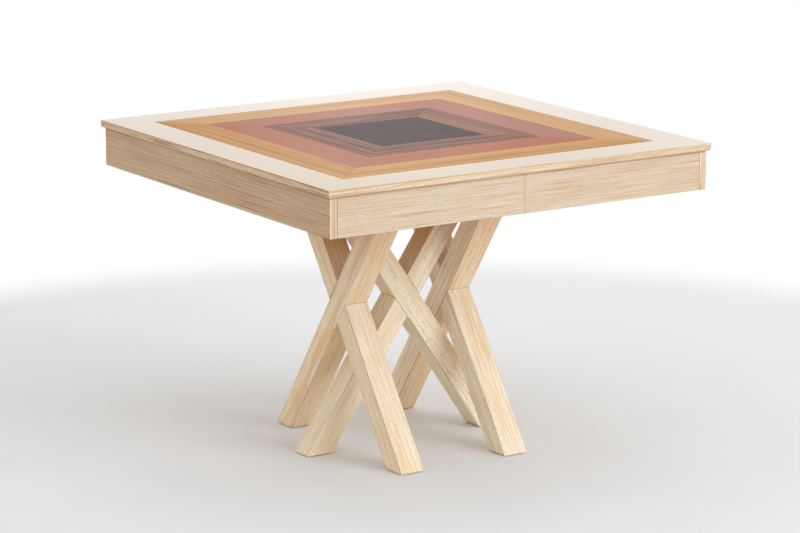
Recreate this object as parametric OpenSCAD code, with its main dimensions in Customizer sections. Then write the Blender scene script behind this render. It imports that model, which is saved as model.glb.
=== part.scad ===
/* [Top] */
// Length and depth of the closed square top
top_w = 1067; // [1000:1:1200]
// Height of the table
table_h = 768; // [730:1:800]
// Thickness of the top at its edge
top_t = 18; // [16:0.5:24]
// Thickness of the inlaid strips
inlay_t = 6; // [3:0.5:8]
// Width of the pale border and of each inlaid band
band_w = 97; // [70:1:110]
// Gap where the two halves of the top meet
split_gap = 0.3; // [0.2:0.1:0.8]
// Radius under the outer edge of the top
under_round = 5; // [2:0.5:8]
// Radius along the upper edge of the top
upper_round = 1.2; // [0.5:0.1:3]

/* [Aprons] */
// Height of the aprons
apron_h = 94; // [88:1:110]
// Thickness of the aprons
apron_t = 20; // [16:0.5:24]
// How far the top stands past the aprons
overhang = 8; // [4:0.5:20]
// Bevel on the upright corners of the aprons
apron_bevel = 0.8; // [0.3:0.1:2]
// Leg length of the triangular corner blocks
block_w = 60; // [50:1:70]

/* [Crossed legs] */
// Width of a leg, across the plane of its frame
leg_w = 65; // [50:0.5:68]
// Thickness of a leg, in the plane of its frame
leg_t = 57.5; // [50:0.5:60]
// Lean of the legs from upright
lean = 34.6; // [33:0.1:36]
// Distance from the middle of the table to the middle of each side frame
side_frame_x = 149.5; // [146:0.5:155]
// Distance from the middle of a side frame to the middle of the bearer beside it
bearer_step = 60.2; // [58:0.1:64]
// Radius along the edges of the legs
leg_round = 1.5; // [0.5:0.1:4]
// Diameter of the dowels at the crossings
dowel_d = 12; // [8:0.5:14]
// Length of the dowels at the crossings
dowel_len = 50; // [40:1:56]
// Diameter of the foot glides
glide_d = 30; // [20:1:40]
// Thickness of the foot glides
glide_t = 2.5; // [1.5:0.5:5]

/* [Under frame] */
// Thickness of the bearers and ties
bearer_t = 24; // [22:0.5:30]
// Width of the bearers and ties
bearer_w = 72; // [66:1:80]
// Thickness of the tenons on the ties
tenon_t = 12; // [8:0.5:14]
// Length of the tenons on the ties
tenon_len = 25; // [18:1:32]

/* [Slides] */
// Height of the slide arms
arm_h = 42; // [40:0.5:46]
// Thickness of the slide arms
arm_w = 28; // [26:0.5:32]
// Length of the fixed middle rails
rail_len = 600; // [560:1:680]
// Module of the rack and pinion teeth
gear_module = 2; // [1.8:0.1:2.2]
// Number of teeth on each pinion, an even number
pinion_teeth = 20; // [18:2:22]
// Thickness of the pinions and racks
gear_t = 8; // [6:0.5:10]
// Diameter of the pinion axles
axle_d = 8; // [6:0.5:10]
// Depth of the dovetail tongues
tongue_reach = 7; // [5:0.5:7.5]
// Height of the dovetail tongues at their tips
tongue_h = 12; // [11:0.5:13]
// Diameter of the stop dowels under the arms
stop_d = 8; // [6:0.5:10]

/* [Leaf] */
// Width that the leaf adds to the table
leaf_w = 457; // [440:1:480]
// Space between the stowed leaf and the slides beside it
leaf_room = 28; // [20:1:36]

/* [Locks and pins] */
// Thickness of the battens under the top
batten_t = 12; // [10:0.5:16]
// Width of the battens under the top
batten_w = 45; // [40:1:55]
// Distance from the pivot of a lock lever to its stud
lock_reach = 44; // [40:1:46]
// Thickness of the lock levers
lever_t = 2.5; // [2:0.25:3]
// Thickness of the lock and strike plates
plate_t = 2; // [1.5:0.25:2.5]
// Diameter of the lock pivots
pivot_d = 6; // [5:0.5:7]
// Diameter of the strike studs
stud_d = 7; // [6:0.5:8]
// Diameter of the alignment pins
pin_d = 7; // [6:0.5:8]
// Length of an alignment pin that stands out of its edge
pin_reach = 12; // [10:0.5:14]

/* [Hidden] */
$fn = 48;
WALNUT = [0.45, 0.3, 0.24];

// Clearances
fit_gap = 0.1; // around fixed pins, bolts, screws and tenons
run_gap = 0.05; // around shafts that turn
slide_gap = 0.5; // between sliding faces at the sides
rub_gap = 1; // between sliding faces above one another
arm_lift = 2; // under the arms where they pass over the bearers
pin_gap = 0.3; // around alignment pins and studs that slip in
backlash = 0.15; // between meshing teeth
glue_gap = 0.1; // at the mitres of the top

// Half sizes and levels of the top
half_w = top_w / 2;
half_gap = split_gap / 2;
top_under = table_h - top_t;
inlay_under = table_h - inlay_t;
apron_outer = half_w - overhang;
apron_inner = apron_outer - apron_t;
apron_under = top_under - apron_h;
core_half = half_w - band_w;

// Levels of the under frame
batten_under = top_under - batten_t;
arm_under = batten_under - arm_h;
bearer_top = arm_under - arm_lift;
leg_top = bearer_top - bearer_t;
rail_h = batten_under - rub_gap - bearer_top;

// Crossed legs
FRAMES = ["left", "middle", "right"];
head_x = side_frame_x + bearer_step;
crossing_h = leg_top - head_x / tan(lean);
foot_x = (crossing_h - glide_t) * tan(lean);
crossing_step = leg_t / 2 / sin(2 * lean);
bar_len = 2 * table_h;
bearer_inner = head_x - bearer_w / 2;

// Gears
tooth_pitch = PI * gear_module;
pressure_angle = 20;
pitch_r = gear_module * pinion_teeth / 2;
tip_r = pitch_r + gear_module;
root_r = pitch_r - 1.25 * gear_module;
base_r = pitch_r * cos(pressure_angle);
rack_root = pitch_r + 1.25 * gear_module;
rack_tip = pitch_r - gear_module;
rack_backing = 5.5;
rack_back = rack_root + rack_backing;
travel = leaf_w / 2;
spare_teeth = 3;
rack_teeth = ceil(travel / tooth_pitch) + 2 * spare_teeth;
rack_start = -spare_teeth * tooth_pitch;
rack_end = rack_start + rack_teeth * tooth_pitch;

// Slides, each built about its own middle line
rail_w = 2 * (rack_tip - 2 * slide_gap);
arm_near = rail_w / 2 + slide_gap;
arm_far = arm_near + arm_w;
arm_screw_in = 8.5; // from the outer face of an arm to its screws
arm_screw_y = arm_far - arm_screw_in;
gear_rise = 9; // from the underside of an arm to its rack
gear_z = arm_under + gear_rise;
tongue_rise = 30; // from the underside of an arm to the middle of its tongue
tongue_z = arm_under + tongue_rise;
tongue_flare = 2; // by which a tongue widens above and below
slide_y = half_w / 2 + leaf_room + arm_far;
axle_hold = 8; // length of an axle in the wood above its pinion
axle_len = gear_z + gear_t + axle_hold - bearer_top;
bearer_overrun = 4; // of the bearers past the slides
bearer_end = slide_y + arm_far + bearer_overrun;

// Battens, from the middle of the table outwards
inner_batten_x = 112.5;
batten_margin = 16; // between the outer battens and the border
outer_batten_x = core_half - batten_margin - batten_w / 2;
arm_overrun = 60; // of the arms past the outer battens
arm_outer_x = outer_batten_x + batten_w / 2 + arm_overrun;
arm_lead = 6; // of the arms past their racks
arm_tip_x = rack_end + arm_lead;
stop_x = travel - bearer_inner + stop_d / 2 + pin_gap;
stop_drop = arm_lift + 10; // how far a stop dowel hangs below its arm
stop_root = 16; // how far it goes up into the arm

// Screws, all of one size
screw_d = 4.2;
screw_head_d = 8.4;
screw_head_h = 2.6;
screw_len = 22;
screw_bite = 11; // wood left under a sunk screw head
sink_d = 10;
border_screw_in = 12; // from the middle of the border to its screws
block_rise = 4; // of the corner blocks above the lower edge of the aprons
block_screw_z = 8; // of their screws above or below the middle of the aprons

// Bolts
frame_bolt_d = 10;
frame_bolt_len = 50;
frame_head_h = 6.4;
frame_head_d = 17 / cos(30);
washer_d = 21;
washer_t = 2;
bolt_sink = 9;
bolt_shift = 10; // towards the crossing, to stay inside the leaning leg
bolt_bite = frame_bolt_len - (bearer_t - bolt_sink + washer_t);
rail_bolt_d = 6;
rail_head_d = 10;
rail_head_h = 6;
rail_bolt_bite = 18;
rail_bolt_seat = bearer_top + rail_h - rail_head_h - 1;

// Locks
lever_gap = 0.3; // above and below a lever
lever_top = top_under - plate_t - lever_gap;
rivet_t = 1.5;
rivet_d = 10;
pivot_x = 26;
stud_x = lock_reach - pivot_x;
lever_w = 16;
lever_tail = 30;
hook_r = 9;
thumb_drop = 12;
lock_margin = 8; // between a turned lever and the apron
lock_y = apron_inner - lock_reach - hook_r - lock_margin;
plate_w = 30;
lock_plate_len = 42;
lock_plate_tail = 24; // from the pivot to the end away from the stud
strike_plate_len = 34;
strike_plate_lead = 12; // from the stud to the end beside the split
stud_end = 3; // of a stud below its lever
stud_len = plate_t + lever_gap + lever_t + stud_end;

// Alignment pins along the meeting edges, at equal steps from the middle
pin_step = top_w * 0.225;
pin_z = top_under + (top_t - inlay_t) / 2;
pin_root = 20;

// Leaf, folded in two with its show faces together
leaf_half = half_w / 2;
leaf_mid_z = bearer_top + top_t;
hinge_xs = [-leaf_w * 0.35, 0, leaf_w * 0.35];
leaf_pin_ys = [pin_step - leaf_half, 2 * pin_step - leaf_half]; // in line with the top's when opened flat
barrel_d = 12;
barrel_len = 18;
link_t = 6;

// 2-D shapes

// Rectangle about the origin with rounded corners
module eased_rect(size_x, size_y, r) {
  square([size_x - 2 * r, size_y], center = true);
  square([size_x, size_y - 2 * r], center = true);
  for (sx = [-1, 1], sy = [-1, 1])
    translate([sx * (size_x / 2 - r), sy * (size_y / 2 - r)]) circle(r);
}

// Corner to be cut away so that a radius is left, with the material towards -x and -y
module round_cut(r) {
  difference() {
    translate([-r, -r]) square(r + 1);
    translate([-r, -r]) circle(r);
  }
}

// Section across the whole top, rounded under and eased over its outer edges
module top_section() {
  difference() {
    translate([-half_w, 0]) square([top_w, top_t]);
    for (side = [0, 1]) mirror([side, 0]) {
      translate([half_w, top_t]) round_cut(upper_round);
      translate([half_w, 0]) mirror([0, 1]) round_cut(under_round);
    }
  }
}

// Helpers for places

// Runs a section drawn in y and z along x, from x0 to x1
module along_x(x0, x1) {
  translate([x0, 0, 0]) rotate([90, 0, 90]) linear_extrude(x1 - x0) children();
}

// Left half as drawn, right half as its mirror image
module on_half(side) {
  if (side == "left") children();
  else mirror([1, 0, 0]) children();
}

module front_and_back() {
  for (turn = [0, 1]) mirror([0, turn, 0]) children();
}

// Crossed legs

// One leaning bar in the x-z plane, through the crossing point; way 1 leans to +x at its head
module leaning_bar(way) {
  translate([0, 0, crossing_h]) rotate([0, way * lean, 0])
    linear_extrude(bar_len, center = true) eased_rect(leg_t, leg_w, leg_round);
}

// Everything between the glides and the bearers
module standing_height() {
  translate([-table_h, -leg_w, glide_t]) cube([2 * table_h, 2 * leg_w, leg_top - glide_t]);
}

// Everything on one side of the long leg: end 1 is its upper side, end -1 its lower side
module beside_long_leg(end) {
  translate([0, 0, crossing_h]) rotate([0, -lean, 0])
    translate([end > 0 ? leg_t / 2 : -leg_t / 2 - bar_len, -leg_w, -bar_len])
      cube([bar_len, 2 * leg_w, 2 * bar_len]);
}

// Dowels through the butt joint of one half leg
module dowel_pair(end, d, len) {
  translate([0, 0, crossing_h]) rotate([0, lean, 0])
    for (y = [-leg_w / 4, leg_w / 4])
      translate([0, y, end * crossing_step]) cylinder(d = d, h = len, center = true);
}

module dowel_holes(end) {
  dowel_pair(end, dowel_d + 2 * fit_gap, dowel_len + 2 * fit_gap);
}

// Holes for the bolts that come down into the heads of one frame
module head_bolt_holes() {
  for (side = [-1, 1])
    translate([side * (head_x - bolt_shift), 0, leg_top - bolt_bite - fit_gap])
      cylinder(d = frame_bolt_d + 2 * fit_gap, h = bolt_bite + 1);
}

module long_leg() {
  difference() {
    intersection() {
      leaning_bar(-1);
      standing_height();
    }
    dowel_holes(1);
    dowel_holes(-1);
    head_bolt_holes();
  }
}

module half_leg(end) {
  difference() {
    intersection() {
      leaning_bar(1);
      standing_height();
      beside_long_leg(end);
    }
    dowel_holes(end);
    head_bolt_holes();
  }
}

// Places of the three frames: the middle one stands in the x-z plane, the side ones in y-z planes
module at_frame(which) {
  if (which == "middle") children();
  if (which == "left") translate([-side_frame_x, 0, 0]) rotate([0, 0, 90]) children();
  if (which == "right") translate([side_frame_x, 0, 0]) rotate([0, 0, 90]) children();
}

module frame_long_leg(which) {
  color("burlywood") at_frame(which) long_leg();
}

module frame_half_leg(which, end) {
  color("wheat") at_frame(which) half_leg(end);
}

module crossing_dowels() {
  color("tan") for (which = FRAMES, end = [-1, 1]) at_frame(which) dowel_pair(end, dowel_d, dowel_len);
}

module foot_glides() {
  color("dimgray") for (which = FRAMES, side = [-1, 1])
    at_frame(which) translate([side * foot_x, 0, 0]) cylinder(d = glide_d, h = glide_t);
}

// Under frame

// Places of the six bolts that hold the leg heads
module at_leg_heads() {
  for (which = FRAMES, side = [-1, 1])
    at_frame(which) translate([side * (head_x - bolt_shift), 0, 0]) children();
}

module frame_bolt_holes() {
  at_leg_heads() {
    translate([0, 0, leg_top - 1]) cylinder(d = frame_bolt_d + 2 * fit_gap, h = bearer_t + 2);
    translate([0, 0, bearer_top - bolt_sink]) cylinder(d = washer_d + 2, h = bolt_sink + 1);
  }
}

module tenon(extra) {
  translate([bearer_inner - 1, -bearer_w / 4 - extra, leg_top + (bearer_t - tenon_t) / 2 - extra])
    cube([tenon_len + 1 + extra, bearer_w / 2 + 2 * extra, tenon_t + 2 * extra]);
}

// Places of the four stub tenons, with the cutter or tenon drawn towards +x
module at_tenons() {
  for (sx = [0, 1], sy = [-1, 1]) mirror([sx, 0, 0]) translate([0, sy * head_x, 0]) children();
}

module bearer(side) {
  color("tan") difference() {
    translate([side * head_x - bearer_w / 2, -bearer_end, leg_top])
      cube([bearer_w, 2 * bearer_end, bearer_t]);
    at_tenons() tenon(fit_gap);
    frame_bolt_holes();
    for (y = [-slide_y, slide_y]) translate([side * head_x, y, bearer_top - rail_bolt_bite - fit_gap])
      cylinder(d = rail_bolt_d + 2 * fit_gap, h = bearer_t);
  }
}

module bearer_ties() {
  color("tan") difference() {
    union() {
      for (side = [-1, 1]) translate([-bearer_inner, side * head_x - bearer_w / 2, leg_top])
        cube([2 * bearer_inner, bearer_w, bearer_t]);
      at_tenons() tenon(0);
    }
    frame_bolt_holes();
  }
}

// Hexagon bolts with washers, sunk below the top of the under frame
module frame_bolts() {
  seat = bearer_top - bolt_sink;
  color("silver") at_leg_heads() {
    translate([0, 0, seat]) cylinder(d = washer_d, h = washer_t);
    translate([0, 0, seat + washer_t]) cylinder(d = frame_head_d, h = frame_head_h, $fn = 6);
    translate([0, 0, seat + washer_t - frame_bolt_len]) cylinder(d = frame_bolt_d, h = frame_bolt_len);
  }
}

// Slides

// Polar angle that the involute has turned through at radius r
function involute_turn(r) = let (a = acos(base_r / r)) tan(a) * 180 / PI - a;

// Half of the angle that a tooth takes up at radius r
function half_tooth(r) =
  let (at_pitch = (tooth_pitch / 2 - backlash) / pitch_r / 2 * 180 / PI)
  at_pitch + involute_turn(pitch_r) - involute_turn(max(r, base_r));

function polar(r, a) = [r * cos(a), r * sin(a)];

// Outline of one tooth that points along angle a, with its flanks as involutes
function tooth_outline(a) =
  let (rs = [for (k = [0:4]) base_r + (tip_r - base_r) * k / 4])
  concat(
    [polar(root_r, a - half_tooth(base_r))],
    [for (r = rs) polar(r, a - half_tooth(r))],
    [for (k = [4:-1:0]) polar(rs[k], a + half_tooth(rs[k]))],
    [polar(root_r, a + half_tooth(base_r))]
  );

module pinion_blank() {
  polygon([for (i = [0:pinion_teeth - 1]) each tooth_outline(90 + 360 * i / pinion_teeth)]);
}

// A pinion stands in each rail, with one tooth pointing square at either rack
module pinion() {
  color("goldenrod") translate([0, -slide_y, gear_z]) difference() {
    linear_extrude(gear_t) pinion_blank();
    translate([0, 0, -1]) cylinder(d = axle_d + 2 * run_gap, h = gear_t + 2);
  }
}

// Rack outline in x and y, for a pinion about the origin, with a tooth space at x = 0
function rack_outline() =
  let (
    half_mid = tooth_pitch / 4 - backlash / 2,
    half_tip = half_mid - gear_module * tan(pressure_angle),
    half_root = half_mid + 1.25 * gear_module * tan(pressure_angle)
  )
  concat(
    [[rack_end, rack_back], [rack_start, rack_back], [rack_start, rack_root]],
    [
      for (i = [0:rack_teeth - 1])
        let (x = rack_start + (i + 0.5) * tooth_pitch)
        each [
          [x - half_root, rack_root], [x - half_tip, rack_tip],
          [x + half_tip, rack_tip], [x + half_root, rack_root]
        ]
    ],
    [[rack_end, rack_root]]
  );

// The left half rides on the outer arm of each slide, the right half on the inner one
module at_arm(side, turn) {
  mirror([0, turn, 0]) translate([0, -slide_y, 0]) mirror([0, side == "left" ? 1 : 0, 0])
    on_half(side) children();
}

module racks(side) {
  color("darkgoldenrod") for (turn = [0, 1])
    at_arm(side, turn) translate([0, 0, gear_z]) linear_extrude(gear_t) polygon(rack_outline());
}

// Dovetail in y and z that reaches towards the rail; extra is its clearance all round
module tongue(extra) {
  neck = tongue_h - 2 * tongue_flare;
  polygon([
    [arm_near + 1, tongue_z - neck / 2 - extra],
    [arm_near, tongue_z - neck / 2 - extra],
    [arm_near - tongue_reach - extra, tongue_z - tongue_h / 2 - extra],
    [arm_near - tongue_reach - extra, tongue_z + tongue_h / 2 + extra],
    [arm_near, tongue_z + neck / 2 + extra],
    [arm_near + 1, tongue_z + neck / 2 + extra]
  ]);
}

// Screws of one half, as cutters or as screws: spare is the clearance round them
module wood_screw(spare) {
  cylinder(d = screw_d + 2 * spare, h = screw_len + spare);
  cylinder(d1 = screw_head_d + 2 * spare, d2 = screw_d + 2 * spare, h = screw_head_h);
}

module batten_screw_places() {
  for (x = [inner_batten_x, outer_batten_x], y = [-1, -0.5, 0.5, 1])
    translate([-x, y * (core_half + band_w / 2 - border_screw_in), batten_under]) children();
}

// Screws up through the arms, each at the middle of a batten, sunk deep from below
module arm_screw_places() {
  for (x = [inner_batten_x, outer_batten_x])
    translate([-x, arm_screw_y, batten_under - screw_bite]) children();
}

// Two screws through each corner block, one into each apron
module block_screw_places() {
  front_and_back() translate([-apron_inner, -apron_inner, apron_under + apron_h / 2]) {
    translate([screw_bite, block_w * 0.4, -block_screw_z]) rotate([0, -90, 0]) children();
    translate([block_w * 0.4, screw_bite, block_screw_z]) rotate([90, 0, 0]) children();
  }
}

module slide_arm_solid() {
  difference() {
    along_x(-arm_outer_x, arm_tip_x) union() {
      translate([arm_near, arm_under]) square([arm_w, arm_h]);
      tongue(0);
    }
    // Relieved on top where it runs under the other half
    translate([-inner_batten_x + batten_w, 0, batten_under - rub_gap])
      cube([arm_tip_x + inner_batten_x, arm_far + 1, rub_gap + 1]);
    // Housing for the rack, open towards the tip
    translate([rack_start - fit_gap, 0, gear_z - fit_gap])
      cube([arm_tip_x - rack_start + 1, rack_back + fit_gap, gear_t + 2 * fit_gap]);
    arm_screw_places() {
      wood_screw(fit_gap);
      mirror([0, 0, 1]) cylinder(d = sink_d, h = arm_h);
    }
    translate([stop_x, arm_screw_y, arm_under - 1])
      cylinder(d = stop_d + 2 * fit_gap, h = stop_root + 1 + fit_gap);
  }
}

module slide_arms(side) {
  color("peru") for (turn = [0, 1]) at_arm(side, turn) slide_arm_solid();
}

// Dowels that meet the inside of a bearer when the table is fully open
module stop_dowels(side) {
  color("tan") for (turn = [0, 1]) at_arm(side, turn)
    translate([stop_x, arm_screw_y, arm_under - stop_drop]) cylinder(d = stop_d, h = stop_drop + stop_root);
}

module middle_rail() {
  color("sienna") translate([0, -slide_y, 0]) difference() {
    along_x(-rail_len / 2, rail_len / 2) difference() {
      translate([-rail_w / 2, bearer_top]) square([rail_w, rail_h]);
      for (turn = [0, 1]) mirror([turn, 0]) tongue(slide_gap);
    }
    // Pocket that the pinion turns in
    translate([-tip_r - 2, -rail_w / 2 - 1, gear_z - slide_gap])
      cube([2 * tip_r + 4, rail_w + 2, gear_t + 2 * slide_gap]);
    translate([0, 0, bearer_top - 1]) cylinder(d = axle_d + 2 * fit_gap, h = axle_len + 1 + fit_gap);
    for (x = [-head_x, head_x]) translate([x, 0, 0]) {
      translate([0, 0, bearer_top - 1]) cylinder(d = rail_bolt_d + 2 * fit_gap, h = rail_h + 2);
      translate([0, 0, rail_bolt_seat]) cylinder(d = rail_head_d + 1, h = rail_head_h + 2);
    }
  }
}

module pinion_axles() {
  color("silver") front_and_back() translate([0, -slide_y, bearer_top]) cylinder(d = axle_d, h = axle_len);
}

module rail_bolts() {
  tip = bearer_top - rail_bolt_bite;
  color("silver") front_and_back() for (x = [-head_x, head_x]) translate([x, -slide_y, 0]) {
    translate([0, 0, rail_bolt_seat]) cylinder(d = rail_head_d, h = rail_head_h);
    translate([0, 0, tip]) cylinder(d = rail_bolt_d, h = rail_bolt_seat - tip);
  }
}

// Stowed leaf

module leaf_board(z0, show_up) {
  edge_z = show_up ? z0 + pin_z - top_under : z0 + top_t - (pin_z - top_under);
  color("wheat") difference() {
    translate([-leaf_w / 2, -leaf_half, z0]) cube([leaf_w, half_w, top_t]);
    for (y = leaf_pin_ys) {
      translate([-leaf_w / 2 - 1, y, edge_z]) rotate([0, 90, 0])
        cylinder(d = pin_d + 2 * fit_gap, h = pin_root + 1 + fit_gap);
      translate([leaf_w / 2 + 1, y, edge_z]) rotate([0, -90, 0])
        cylinder(d = pin_d + 2 * pin_gap, h = pin_reach + 3);
    }
    for (x = hinge_xs) translate([x, -leaf_half - 1, z0 + top_t / 2]) rotate([-90, 0, 0])
      cylinder(d = barrel_d + 2 * fit_gap, h = barrel_len + 1 + fit_gap);
  }
}

module leaf_pins() {
  drop = pin_z - top_under;
  color("tan") for (y = leaf_pin_ys, z = [bearer_top + drop, leaf_mid_z + top_t - drop])
    translate([-leaf_w / 2 - pin_reach, y, z]) rotate([0, 90, 0])
      cylinder(d = pin_d, h = pin_reach + pin_root);
}

// Barrel hinges: two barrels let into the edges, joined by a bowed link
module leaf_hinges() {
  bow_r = top_t / 2;
  color("goldenrod") for (x = hinge_xs) translate([x, -leaf_half, leaf_mid_z]) {
    for (z = [-bow_r, bow_r]) translate([0, 0, z]) rotate([-90, 0, 0])
      cylinder(d = barrel_d, h = barrel_len);
    intersection() {
      rotate([0, 90, 0]) difference() {
        cylinder(r = bow_r + barrel_d / 4, h = link_t, center = true);
        cylinder(r = bow_r - barrel_d / 4, h = link_t + 2, center = true);
      }
      translate([-link_t, -2 * bow_r, -2 * bow_r]) cube([2 * link_t, 2 * bow_r + 1, 4 * bow_r]);
    }
  }
}

// Top

// Outlines of the strips that run between two distances from the outer edge of the left half
function end_strip(d0, d1) =
  let (a = half_w - d0, b = half_w - d1) [[-a, -a], [-b, -b], [-b, b], [-a, a]];
function side_strip(d0, d1) =
  let (a = half_w - d0, b = half_w - d1)
  [[glue_gap - a, -a], [-half_gap, -a], [-half_gap, -b], [glue_gap - b, -b]];

module alignment_holes(d, root) {
  for (k = [-2:2]) translate([-half_gap + 1, k * pin_step, pin_z]) rotate([0, -90, 0])
    cylinder(d = d, h = root + 1);
}

// Sockets in the left half, root holes in the right half
module pin_holes(side) {
  if (side == "left") alignment_holes(pin_d + 2 * pin_gap, pin_reach + 3);
  else alignment_holes(pin_d + 2 * fit_gap, pin_root + fit_gap);
}

// Three mitred strips of full thickness, shaped along their outer edges
module border(side) {
  color("antiquewhite") on_half(side) difference() {
    translate([0, 0, top_under]) union() {
      intersection() {
        linear_extrude(top_t) polygon(end_strip(0, band_w));
        rotate([90, 0, 0]) linear_extrude(top_w + 2, center = true) top_section();
      }
      front_and_back() intersection() {
        linear_extrude(top_t) polygon(side_strip(0, band_w));
        along_x(-half_w - 1, 1) top_section();
      }
    }
    batten_screw_places() wood_screw(fit_gap);
    pin_holes(side);
  }
}

module inlaid_band(side, order, tint) {
  d0 = order * band_w;
  d1 = d0 + band_w;
  color(tint) on_half(side) translate([0, 0, inlay_under]) linear_extrude(inlay_t) {
    polygon(end_strip(d0, d1));
    front_and_back() polygon(side_strip(d0, d1));
  }
}

module centre_panel(side) {
  inner = half_w - 4 * band_w;
  color([0.36, 0.32, 0.31]) on_half(side) translate([-inner, -inner, inlay_under])
    cube([inner - half_gap, 2 * inner, inlay_t]);
}

module core_board(side) {
  color("tan") on_half(side) difference() {
    translate([-core_half, -core_half, top_under])
      cube([core_half - half_gap, 2 * core_half, top_t - inlay_t]);
    batten_screw_places() wood_screw(fit_gap);
    pin_holes(side);
  }
}

module alignment_pins() {
  color("tan") for (k = [-2:2]) translate([half_gap - pin_reach, k * pin_step, pin_z])
    rotate([0, 90, 0]) cylinder(d = pin_d, h = pin_reach + pin_root);
}

// Aprons

// The end boards run the full depth, so that their edges show at the corners
module end_apron(side) {
  a = apron_outer;
  b = apron_bevel;
  color("burlywood") on_half(side) difference() {
    translate([0, 0, apron_under]) linear_extrude(apron_h)
      polygon([[-a, b - a], [b - a, -a], [-apron_inner, -a], [-apron_inner, a], [b - a, a], [-a, a - b]]);
    block_screw_places() wood_screw(fit_gap);
  }
}

// The side boards are cut at the middle, with a fine bevel at the cut
module side_apron(side, turn) {
  a = apron_outer;
  b = apron_bevel;
  color("burlywood") on_half(side) difference() {
    mirror([0, turn, 0]) translate([0, 0, apron_under]) linear_extrude(apron_h)
      polygon([
        [-apron_inner, -a], [-half_gap - b, -a], [-half_gap, b - a], [-half_gap, -apron_inner],
        [-apron_inner, -apron_inner]
      ]);
    block_screw_places() wood_screw(fit_gap);
  }
}

module corner_blocks(side) {
  color("tan") on_half(side) difference() {
    front_and_back() translate([-apron_inner, -apron_inner, apron_under + block_rise])
      linear_extrude(apron_h - block_rise) polygon([[0, 0], [block_w, 0], [0, block_w]]);
    block_screw_places() {
      wood_screw(fit_gap);
      mirror([0, 0, 1]) cylinder(d = sink_d, h = block_w);
    }
  }
}

module battens(side) {
  color("tan") difference() {
    on_half(side) difference() {
      for (x = [inner_batten_x, outer_batten_x])
        translate([-x - batten_w / 2, -apron_inner, batten_under])
          cube([batten_w, 2 * apron_inner, batten_t]);
      batten_screw_places() wood_screw(fit_gap);
    }
    for (turn = [0, 1]) at_arm(side, turn) arm_screw_places() wood_screw(fit_gap);
  }
}

module screws(side) {
  color("silver") {
    on_half(side) batten_screw_places() wood_screw(0);
    on_half(side) block_screw_places() wood_screw(0);
    for (turn = [0, 1]) at_arm(side, turn) arm_screw_places() wood_screw(0);
  }
}

// Locks

module lock_plates() {
  rivet_top = lever_top - lever_t - lever_gap;
  color("gold") front_and_back() translate([-pivot_x, -lock_y, 0]) {
    translate([-lock_plate_tail, -plate_w / 2, top_under - plate_t])
      cube([lock_plate_len, plate_w, plate_t]);
    translate([0, 0, rivet_top]) cylinder(d = pivot_d, h = top_under - plate_t / 2 - rivet_top);
    translate([0, 0, rivet_top - rivet_t]) cylinder(d = rivet_d, h = rivet_t);
  }
}

module strike_plates() {
  color("gold") front_and_back() translate([stud_x, -lock_y, top_under]) {
    translate([-strike_plate_lead, -plate_w / 2, -plate_t]) cube([strike_plate_len, plate_w, plate_t]);
    translate([0, 0, -stud_len]) cylinder(d = stud_d, h = stud_len - plate_t / 2);
  }
}

// Lever in its locked place, pointing along +x about its pivot
module lever_outline() {
  slot = stud_d / 2 + pin_gap;
  // The stud comes in on an arc about the pivot, so the slot is wider on the pivot's side
  arc_room = lock_reach - sqrt(pow(lock_reach, 2) - pow(hook_r + slot, 2));
  difference() {
    union() {
      circle(d = lever_w + 2);
      translate([-lever_tail, -lever_w / 2]) square([lever_tail + lock_reach - hook_r, lever_w]);
      translate([lock_reach, 0]) circle(hook_r);
      translate([lock_reach - hook_r, -hook_r]) square([hook_r, 2 * hook_r]);
    }
    circle(d = pivot_d + 2 * run_gap);
    translate([lock_reach - slot - arc_room, -slot]) square([2 * slot + arc_room, slot + hook_r + 1]);
  }
}

// The front lever is stored unlocked, turned out to the apron; the back one is its mirror image
module lock_lever() {
  color("gold") translate([-pivot_x, -lock_y, lever_top - lever_t]) rotate([0, 0, -90]) {
    linear_extrude(lever_t) lever_outline();
    translate([-lever_tail, -lever_w / 2, -thumb_drop]) cube([lever_t, lever_w, thumb_drop + lever_t]);
  }
}

frame_long_leg("left");  // left_frame_long_leg
frame_half_leg("left", 1);  // left_frame_upper_leg
frame_half_leg("left", -1);  // left_frame_lower_leg
frame_long_leg("middle");  // middle_frame_long_leg
frame_half_leg("middle", 1);  // middle_frame_upper_leg
frame_half_leg("middle", -1);  // middle_frame_lower_leg
frame_long_leg("right");  // right_frame_long_leg
frame_half_leg("right", 1);  // right_frame_upper_leg
frame_half_leg("right", -1);  // right_frame_lower_leg
crossing_dowels();
foot_glides();
bearer(-1);  // left_bearer
bearer(1);  // right_bearer
bearer_ties();
frame_bolts();
middle_rail();  // front_middle_rail
mirror([0, 1, 0]) middle_rail();  // back_middle_rail
rail_bolts();
pinion_axles();
pinion();  // front_pinion
mirror([0, 1, 0]) pinion();  // back_pinion
leaf_board(bearer_top, true);  // leaf_lower_board
leaf_board(leaf_mid_z, false);  // leaf_upper_board
leaf_hinges();
leaf_pins();
core_board("left");  // left_core_board
border("left");  // left_border
inlaid_band("left", 1, "sandybrown");  // left_orange_band
inlaid_band("left", 2, "indianred");  // left_red_band
inlaid_band("left", 3, WALNUT);  // left_walnut_band
centre_panel("left");  // left_centre_panel
end_apron("left");  // left_end_apron
side_apron("left", 0);  // left_front_apron
side_apron("left", 1);  // left_back_apron
corner_blocks("left");  // left_corner_blocks
battens("left");  // left_battens
slide_arms("left");  // left_slide_arms
racks("left");  // left_racks
stop_dowels("left");  // left_stop_dowels
screws("left");  // left_screws
lock_plates();
lock_lever();  // front_lock_lever
mirror([0, 1, 0]) lock_lever();  // back_lock_lever
core_board("right");  // right_core_board
border("right");  // right_border
inlaid_band("right", 1, "sandybrown");  // right_orange_band
inlaid_band("right", 2, "indianred");  // right_red_band
inlaid_band("right", 3, WALNUT);  // right_walnut_band
centre_panel("right");  // right_centre_panel
end_apron("right");  // right_end_apron
side_apron("right", 0);  // right_front_apron
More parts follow.
